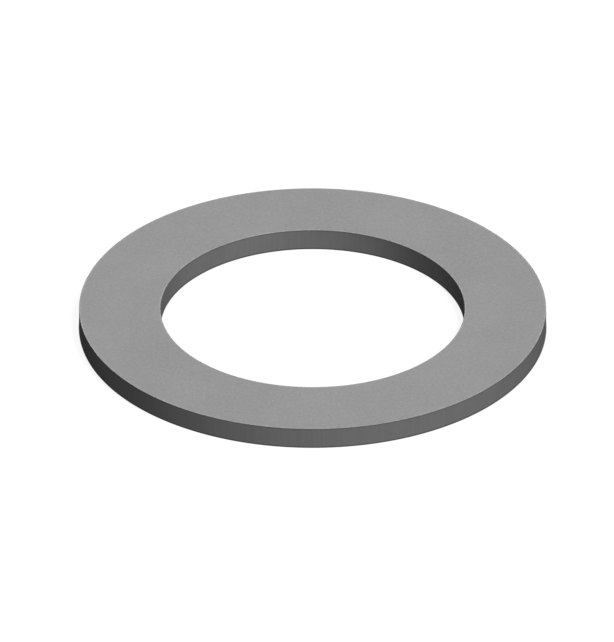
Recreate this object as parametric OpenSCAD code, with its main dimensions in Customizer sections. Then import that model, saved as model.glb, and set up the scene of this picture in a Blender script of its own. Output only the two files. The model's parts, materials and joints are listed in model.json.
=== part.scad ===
// Flat washer for a thru-hull fitting, cut from grey rubber sheet.
// The fitting's thread passes through the bore, and its nut squeezes the ring against the hull.
// The ring lies flat on the XY plane, with the bore along Z and the hull face at Z = 0.

/* [Ring] */
// Outside diameter
outer_d = 53; // [48:0.5:90]
// Thickness of the sheet
thickness = 2.5; // [1.5:0.1:6]

/* [Bore] */
// Bore diameter, a loose fit over a 1 inch pipe thread
bore_d = 34.5; // [12:0.5:44]

/* [Edges] */
// Radius left on the four cut edges
edge_r = 0.05; // [0.02:0.01:0.5]

/* [Hidden] */
ring_w = (outer_d - bore_d) / 2;
turn_fn = 180;
edge_fn = 32;

// Half section of the ring, from the bore wall at X = 0 to the rim, with round corners
module section() {
    translate([edge_r, 0])
        square([ring_w - 2 * edge_r, thickness]);
    translate([0, edge_r])
        square([ring_w, thickness - 2 * edge_r]);
    for (x = [edge_r, ring_w - edge_r], y = [edge_r, thickness - edge_r])
        translate([x, y])
            circle(r = edge_r, $fn = edge_fn);
}

// The section turned about the bore's axis
module washer() {
    color("#989898")
        rotate_extrude($fn = turn_fn)
            translate([bore_d / 2, 0])
                section();
}

washer();
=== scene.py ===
"""A flat ring washer for a thru-hull fitting, cut from grey rubber sheet and lying on a pale floor."""
import json
import math

import bpy
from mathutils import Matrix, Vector


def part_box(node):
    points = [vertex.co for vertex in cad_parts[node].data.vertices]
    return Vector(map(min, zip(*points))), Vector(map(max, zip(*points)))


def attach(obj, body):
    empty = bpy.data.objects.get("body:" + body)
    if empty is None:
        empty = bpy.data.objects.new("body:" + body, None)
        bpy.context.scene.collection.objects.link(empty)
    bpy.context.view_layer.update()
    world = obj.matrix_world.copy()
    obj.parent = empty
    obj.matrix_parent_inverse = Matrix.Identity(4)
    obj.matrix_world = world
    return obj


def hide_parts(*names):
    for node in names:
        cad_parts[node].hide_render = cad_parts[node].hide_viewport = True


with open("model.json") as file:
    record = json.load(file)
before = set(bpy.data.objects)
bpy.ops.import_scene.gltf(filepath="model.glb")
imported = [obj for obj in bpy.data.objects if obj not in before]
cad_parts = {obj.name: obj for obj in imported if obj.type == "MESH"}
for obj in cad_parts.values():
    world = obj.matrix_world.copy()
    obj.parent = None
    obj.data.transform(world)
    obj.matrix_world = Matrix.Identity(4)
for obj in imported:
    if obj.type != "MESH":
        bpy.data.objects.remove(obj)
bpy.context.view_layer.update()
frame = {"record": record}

# Ring, in metres, read from the frame
MM = 0.001
ring_low, ring_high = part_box("washer")
bore = next(mount for mount in frame["record"]["mounts"] if mount["name"] == "bore")
OUTER_R = ring_high.x
BORE_R = bore["dims"]["r_mm"] * MM
THICKNESS = ring_high.z - ring_low.z
EDGE_R = (THICKNESS - bore["dims"]["length_mm"] * MM) / 2
RING_W = OUTER_R - BORE_R
HALF_W = RING_W / 2
HALF_T = THICKNESS / 2
BAND_R = BORE_R + HALF_W
MID_Z = ring_low.z + HALF_T

# Mesh of the ring: steps round it and over an edge, and the narrow strips that hold its faces flat
TURN_STEPS = 360
EDGE_STEPS = 4
HOLD_W = 0.08 * MM

# Limits for picking edges and faces, and for merging points
SHARP_ANGLE = math.radians(60)
NORMAL_PLAY = 0.001
MERGE_GAP = 0.001 * MM

# Rubber: its colour, its weak gloss and the range of its roughness
RUBBER_COLOUR = frame["record"]["materials"][0]["base_color"]
RUBBER_SPECULAR = 0.005
DULLEST = 0.92
LEAST_DULL = 0.76

# Ranges of patterns: a whole one, and the part of a noise's range that holds most of its values
WHOLE = (0.0, 1.0)
NOISE_SPAN = (0.3, 0.7)

# Clouds in the rubber: size in metres, depth as a share of the colour
CLOUD_SIZE = 6.0 * MM
CLOUD_DETAIL = 3.0
CLOUD_DEPTH = 0.03

# Press grain on the faces and drag lines on the walls, with the depth and height that they share
GRAIN_SIZE = 0.32 * MM
DRAG_PITCH = 0.35 * MM
DRAG_STRETCH = 0.05
DRAG_SPAN = (0.2, 0.8)
FINE_DETAIL = 2.0
FINE_DEPTH = 0.06
FINE_HEIGHT = 0.010 * MM

# Pale specks of filler, each with a core that is pale all over
SPECK_SPACING = 1.1 * MM
SPECK_R = 0.13 * MM
SPECK_CORE = 0.4
SPECK_LIFT = 0.15

# Edges: the faces carry a painted highlight along them in patches, and the walls are darker along their
# upper and lower edges
EDGE_HIGHLIGHT_W = 0.22 * MM
EDGE_HIGHLIGHT_LIFT = 0.24
EDGE_HIGHLIGHT_PATCH = 1.5 * MM
EDGE_HIGHLIGHT_DETAIL = 1.0
EDGE_HIGHLIGHT_SPAN = (0.5, 1.0)
DARK_EDGE_W = 0.16 * MM
DARK_EDGE_DEPTH = 0.45

# Photo frame, in pixels
IMAGE_W = 614
IMAGE_H = 642
RIM_R_PX = 233.6
TOP_CENTRE_PX = (312.6, 308.5)

# Camera: azimuth from +X and elevation in degrees, distance in metres
VIEW_AZIMUTH = -90.0
VIEW_ELEVATION = 31.02
CAMERA_DISTANCE = 0.4

# Lamps: azimuth from +X and elevation in degrees, level as a share of full light, width in degrees
KEY_LAMP = {"azimuth": -42.0, "elevation": 63.0, "level": 0.732, "width": 14.0}
FILL_LAMP = {"azimuth": -98.0, "elevation": 46.0, "level": 0.23, "width": 30.0}
BACK_LAMP = {"azimuth": 98.0, "elevation": 20.0, "level": 0.50, "width": 14.0}
AMBIENT_LEVEL = 0.008

# Floor: its glow and the lamp light that it shows add up to white, and little light bounces back
FLOOR_SIZE = 3.0
FLOOR_GLOW = 0.89
FLOOR_SEEN = 0.15
FLOOR_BOUNCE = 0.01
# Width past the ring's feet over which the painted contact shadow fades into the floor's glow
PAINTED_SHADOW_W = 0.06 * MM


# Modelling helpers

def deselect_all():
    """Leaves nothing selected, so that the next primitive is worked on alone."""
    bpy.ops.object.select_all(action="DESELECT")


def select_faces(mesh, wanted):
    """Selects the faces that pass a test, in edit mode."""
    bpy.ops.mesh.select_mode(type="FACE")
    bpy.ops.mesh.select_all(action="DESELECT")
    bpy.ops.object.mode_set(mode="OBJECT")
    for face in mesh.polygons:
        face.select = wanted(face)
    bpy.ops.object.mode_set(mode="EDIT")


def is_flat(face):
    """A face of the sheet, above or below."""
    return abs(face.normal.z) > 1 - NORMAL_PLAY


def is_upright(face):
    """A face of the rim or of the bore's wall."""
    return abs(face.normal.z) < NORMAL_PLAY


def is_over_bore(face):
    """The inner part of a cap, which the bore takes away."""
    return is_flat(face) and face.center.xy.length < BORE_R / 2


# The washer

def cut_ring():
    """A disc of the sheet is bored through, its four edges are rounded and its faces are held flat."""
    deselect_all()
    bpy.ops.mesh.primitive_cylinder_add(
        vertices=TURN_STEPS, radius=OUTER_R, depth=THICKNESS, end_fill_type="NGON", location=(0, 0, MID_Z))
    ring = bpy.context.object
    ring.name = "rubber_ring"
    bpy.ops.object.transform_apply(location=True, rotation=True, scale=True)

    bpy.ops.object.mode_set(mode="EDIT")
    select_faces(ring.data, is_flat)
    bpy.ops.mesh.inset(thickness=RING_W, use_even_offset=True, use_individual=True)
    select_faces(ring.data, is_over_bore)
    bpy.ops.mesh.bridge_edge_loops()

    bpy.ops.mesh.select_mode(type="EDGE")
    bpy.ops.mesh.select_all(action="DESELECT")
    bpy.ops.mesh.edges_select_sharp(sharpness=SHARP_ANGLE)
    bpy.ops.mesh.bevel(offset=EDGE_R, offset_type="OFFSET", segments=EDGE_STEPS, affect="EDGES")

    for side in (is_flat, is_upright):
        select_faces(ring.data, side)
        bpy.ops.mesh.inset(thickness=HOLD_W, use_even_offset=True)

    bpy.ops.mesh.select_all(action="SELECT")
    bpy.ops.mesh.remove_doubles(threshold=MERGE_GAP)
    bpy.ops.mesh.normals_make_consistent(inside=False)
    bpy.ops.object.mode_set(mode="OBJECT")
    bpy.ops.object.shade_smooth()
    return ring


# Material helpers

def add_node(tree, kind, sockets=None, **settings):
    """Adds a shader node with its settings and the values of its sockets."""
    node = tree.nodes.new(kind)
    for name, value in settings.items():
        setattr(node, name, value)
    for name, value in (sockets or {}).items():
        node.inputs[name].default_value = value
    return node


def new_material(name):
    """An empty node material: the material, its tree, its output and the place on its object."""
    material = bpy.data.materials.new(name)
    material.use_nodes = True
    tree = material.node_tree
    tree.nodes.clear()
    output = add_node(tree, "ShaderNodeOutputMaterial")
    place = add_node(tree, "ShaderNodeTexCoord").outputs["Object"]
    return material, tree, output, place


def grey(level):
    """A neutral colour."""
    return (level, level, level, 1.0)


def map_range(tree, value, start, end):
    """Maps a pattern from one pair of values to another, and holds it there."""
    ramp = add_node(tree, "ShaderNodeMapRange", {
        "From Min": start[0], "From Max": start[1], "To Min": end[0], "To Max": end[1]})
    tree.links.new(value, ramp.inputs["Value"])
    return ramp.outputs["Result"]


def combine(tree, operation, first, second):
    """One step of arithmetic on two patterns, or on a pattern and a number."""
    step = add_node(tree, "ShaderNodeMath", operation=operation)
    for socket, value in zip(step.inputs, (first, second)):
        if isinstance(value, float):
            socket.default_value = value
        else:
            tree.links.new(value, socket)
    return step.outputs["Value"]


def away_from(tree, value, middle):
    """How far a value is from a middle one, to either side."""
    size = add_node(tree, "ShaderNodeMath", operation="ABSOLUTE")
    tree.links.new(combine(tree, "SUBTRACT", value, middle), size.inputs["Value"])
    return size.outputs["Value"]


def off_band(tree, place):
    """How far a place is from the middle of the ring's band, inwards or outwards."""
    level = add_node(tree, "ShaderNodeVectorMath", {1: (1.0, 1.0, 0.0)}, operation="MULTIPLY")
    tree.links.new(place, level.inputs[0])
    radius = add_node(tree, "ShaderNodeVectorMath", operation="LENGTH")
    tree.links.new(level.outputs["Vector"], radius.inputs[0])
    return away_from(tree, radius.outputs["Value"], BAND_R)


def off_middle(tree, place):
    """How far a place is from the middle of the sheet's thickness, up or down."""
    split = add_node(tree, "ShaderNodeSeparateXYZ")
    tree.links.new(place, split.inputs["Vector"])
    return away_from(tree, split.outputs["Z"], MID_Z)


# Patterns of the rubber

def cloudy(tree, place, size, detail):
    """Cloudy noise that runs from 0 to 1, with spots of about the given size."""
    noise = add_node(tree, "ShaderNodeTexNoise", {"Scale": 1 / size, "Detail": detail})
    tree.links.new(place, noise.inputs["Vector"])
    return map_range(tree, noise.outputs["Fac"], NOISE_SPAN, WHOLE)


def pale_specks(tree, place):
    """Grains of filler at the surface: 1 on a grain and 0 around it."""
    cells = add_node(tree, "ShaderNodeTexVoronoi", {"Scale": 1 / SPECK_SPACING})
    tree.links.new(place, cells.inputs["Vector"])
    radius = SPECK_R / SPECK_SPACING
    return map_range(tree, cells.outputs["Distance"], (SPECK_CORE * radius, radius), (1.0, 0.0))


def cut_walls(tree, place):
    """1 on the rim and on the bore's wall, and 0 on the faces, with a blend over the rounded edges."""
    return map_range(tree, off_middle(tree, place), (HALF_T - EDGE_R, HALF_T), (1.0, 0.0))


def painted_edge_highlight(tree, place, on_wall):
    """A patchy painted highlight along the edges of the two faces."""
    near_wall = map_range(tree, off_band(tree, place), (HALF_W - EDGE_R - EDGE_HIGHLIGHT_W, HALF_W - EDGE_R), WHOLE)
    on_face = combine(tree, "SUBTRACT", 1.0, on_wall)
    patches = map_range(tree, cloudy(tree, place, EDGE_HIGHLIGHT_PATCH, EDGE_HIGHLIGHT_DETAIL), WHOLE, EDGE_HIGHLIGHT_SPAN)
    return combine(tree, "MULTIPLY", combine(tree, "MULTIPLY", on_face, near_wall), patches)


def dark_wall_edges(tree, place, on_wall):
    """A thin line along the upper and lower edges of the two walls."""
    near_face = map_range(tree, off_middle(tree, place), (HALF_T - EDGE_R - DARK_EDGE_W, HALF_T - EDGE_R), WHOLE)
    return combine(tree, "MULTIPLY", on_wall, near_face)


def fine_surface(tree, place, on_wall):
    """The press's fine grain on the faces, and the cutter's upright drag lines on the walls."""
    pulled = add_node(tree, "ShaderNodeMapping", {"Scale": (1.0, 1.0, DRAG_STRETCH)})
    tree.links.new(place, pulled.inputs["Vector"])
    drag = cloudy(tree, pulled.outputs["Vector"], DRAG_PITCH, FINE_DETAIL)
    pick = add_node(tree, "ShaderNodeMix", data_type="FLOAT")
    tree.links.new(on_wall, pick.inputs["Factor"])
    tree.links.new(cloudy(tree, place, GRAIN_SIZE, FINE_DETAIL), pick.inputs["A"])
    tree.links.new(map_range(tree, drag, WHOLE, DRAG_SPAN), pick.inputs["B"])
    return pick.outputs["Result"]


# The rubber

def grey_rubber():
    """Matte sheet rubber with a fine surface, soft clouds, pale specks, a painted highlight along the face
    edges and darker lines along the wall edges.
    """
    material, tree, output, place = new_material("grey_rubber")
    on_wall = cut_walls(tree, place)
    fine = fine_surface(tree, place, on_wall)

    gain = map_range(tree, fine, WHOLE, (1 - FINE_DEPTH, 1 + FINE_DEPTH))
    for pattern, bare, full in (
        (cloudy(tree, place, CLOUD_SIZE, CLOUD_DETAIL), 1 - CLOUD_DEPTH, 1 + CLOUD_DEPTH),
        (pale_specks(tree, place), 1.0, 1 + SPECK_LIFT),
        # painted highlight along the edges of the faces
        (painted_edge_highlight(tree, place, on_wall), 1.0, 1 + EDGE_HIGHLIGHT_LIFT),
        # darker along the upper and lower edges of the walls
        (dark_wall_edges(tree, place, on_wall), 1.0, 1 - DARK_EDGE_DEPTH),
    ):
        gain = combine(tree, "MULTIPLY", gain, map_range(tree, pattern, WHOLE, (bare, full)))
    colour = add_node(tree, "ShaderNodeVectorMath", {"Vector": RUBBER_COLOUR}, operation="SCALE")
    tree.links.new(gain, colour.inputs["Scale"])
    bumps = add_node(tree, "ShaderNodeBump", {"Strength": 1.0, "Distance": FINE_HEIGHT})
    tree.links.new(fine, bumps.inputs["Height"])

    shader = add_node(tree, "ShaderNodeBsdfPrincipled", {"Specular IOR Level": RUBBER_SPECULAR})
    tree.links.new(colour.outputs["Vector"], shader.inputs["Base Color"])
    tree.links.new(map_range(tree, fine, WHOLE, (LEAST_DULL, DULLEST)), shader.inputs["Roughness"])
    tree.links.new(bumps.outputs["Normal"], shader.inputs["Normal"])
    tree.links.new(shader.outputs["BSDF"], output.inputs["Surface"])
    return material


# Studio

def seen_directly(tree):
    """1 for what the camera sees, by itself or in gloss or glass, and 0 for light on its way."""
    rays = add_node(tree, "ShaderNodeLightPath").outputs
    gloss_or_glass = combine(tree, "MAXIMUM", rays["Is Glossy Ray"], rays["Is Transmission Ray"])
    return combine(tree, "MAXIMUM", rays["Is Camera Ray"], gloss_or_glass)


def show_where(tree, seen, shown, hidden, output):
    """Gives one shader to the rays that are seen, and another to the rest."""
    mix = add_node(tree, "ShaderNodeMixShader")
    tree.links.new(seen, mix.inputs["Fac"])
    tree.links.new(hidden, mix.inputs[1])
    tree.links.new(shown, mix.inputs[2])
    tree.links.new(mix.outputs["Shader"], output.inputs["Surface"])


def white_floor():
    """White paint that keeps shadows, with a painted contact shadow under the ring and along its feet, and
    throws little light back.
    """
    material, tree, output, place = new_material("white_floor")
    # The glow is left out under the ring and fades in just past its feet: a painted contact shadow
    glow_past_painted_shadow = map_range(tree, off_band(tree, place), (HALF_W, HALF_W + PAINTED_SHADOW_W), (0.0, FLOOR_GLOW))
    glow = add_node(tree, "ShaderNodeEmission", {"Color": grey(1.0)})
    tree.links.new(glow_past_painted_shadow, glow.inputs["Strength"])
    paint = add_node(tree, "ShaderNodeBsdfDiffuse", {"Color": grey(FLOOR_SEEN)})
    white = add_node(tree, "ShaderNodeAddShader")
    tree.links.new(glow.outputs["Emission"], white.inputs[0])
    tree.links.new(paint.outputs["BSDF"], white.inputs[1])
    bounce = add_node(tree, "ShaderNodeBsdfDiffuse", {"Color": grey(FLOOR_BOUNCE)})
    show_where(tree, seen_directly(tree), white.outputs["Shader"], bounce.outputs["BSDF"], output)
    return material


def lay_floor():
    """A wide plain floor under the ring."""
    deselect_all()
    bpy.ops.mesh.primitive_plane_add(size=FLOOR_SIZE, location=(0, 0, ring_low.z))
    floor = bpy.context.object
    floor.name = "floor"
    floor.data.materials.append(white_floor())


def white_surround():
    """A white room to look at, which lights the ring only faintly."""
    world = bpy.data.worlds.new("white_surround")
    bpy.context.scene.world = world
    world.use_nodes = True
    tree = world.node_tree
    tree.nodes.clear()
    output = add_node(tree, "ShaderNodeOutputWorld")
    white = add_node(tree, "ShaderNodeBackground", {"Color": grey(1.0), "Strength": 1.0})
    ambient = add_node(tree, "ShaderNodeBackground", {"Color": grey(1.0), "Strength": AMBIENT_LEVEL})
    show_where(tree, seen_directly(tree), white.outputs["Background"], ambient.outputs["Background"], output)


def towards(azimuth, elevation):
    """Unit vector towards a place in the sky."""
    turn = math.radians(azimuth)
    rise = math.radians(elevation)
    return Vector((math.cos(rise) * math.cos(turn), math.cos(rise) * math.sin(turn), math.sin(rise)))


def soft_lamp(name, azimuth, elevation, level, width):
    """A broad lamp far away, which lights the whole ring evenly."""
    bpy.ops.object.light_add(type="SUN")
    lamp = bpy.context.object
    lamp.name = name
    lamp.data.energy = level * math.pi
    lamp.data.angle = math.radians(width)
    lamp.rotation_euler = towards(azimuth, elevation).to_track_quat("Z", "Y").to_euler()


def photo_camera():
    """A parallel view from the photo's height, with the ring's upper face at its place in the picture."""
    pixel = OUTER_R / RIM_R_PX
    back = towards(VIEW_AZIMUTH, VIEW_ELEVATION)
    right = Vector((0, 0, 1)).cross(back).normalized()
    up = back.cross(right)
    past_middle = (TOP_CENTRE_PX[0] - IMAGE_W / 2) * pixel
    above_middle = (IMAGE_H / 2 - TOP_CENTRE_PX[1]) * pixel
    aim = Vector((0, 0, ring_high.z)) - right * past_middle - up * above_middle
    bpy.ops.object.camera_add(location=aim + back * CAMERA_DISTANCE)
    camera = bpy.context.object
    camera.rotation_euler = back.to_track_quat("Z", "Y").to_euler()
    camera.data.type = "ORTHO"
    camera.data.ortho_scale = max(IMAGE_W, IMAGE_H) * pixel
    bpy.context.scene.camera = camera


# The scene

bpy.context.scene.view_settings.view_transform = "Standard"
photo_camera()
white_surround()
soft_lamp("key_lamp", **KEY_LAMP)
soft_lamp("fill_lamp", **FILL_LAMP)
soft_lamp("back_lamp", **BACK_LAMP)
lay_floor()

washer_ring = cut_ring()
washer_ring.data.materials.append(grey_rubber())
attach(washer_ring, "root")
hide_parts("washer")
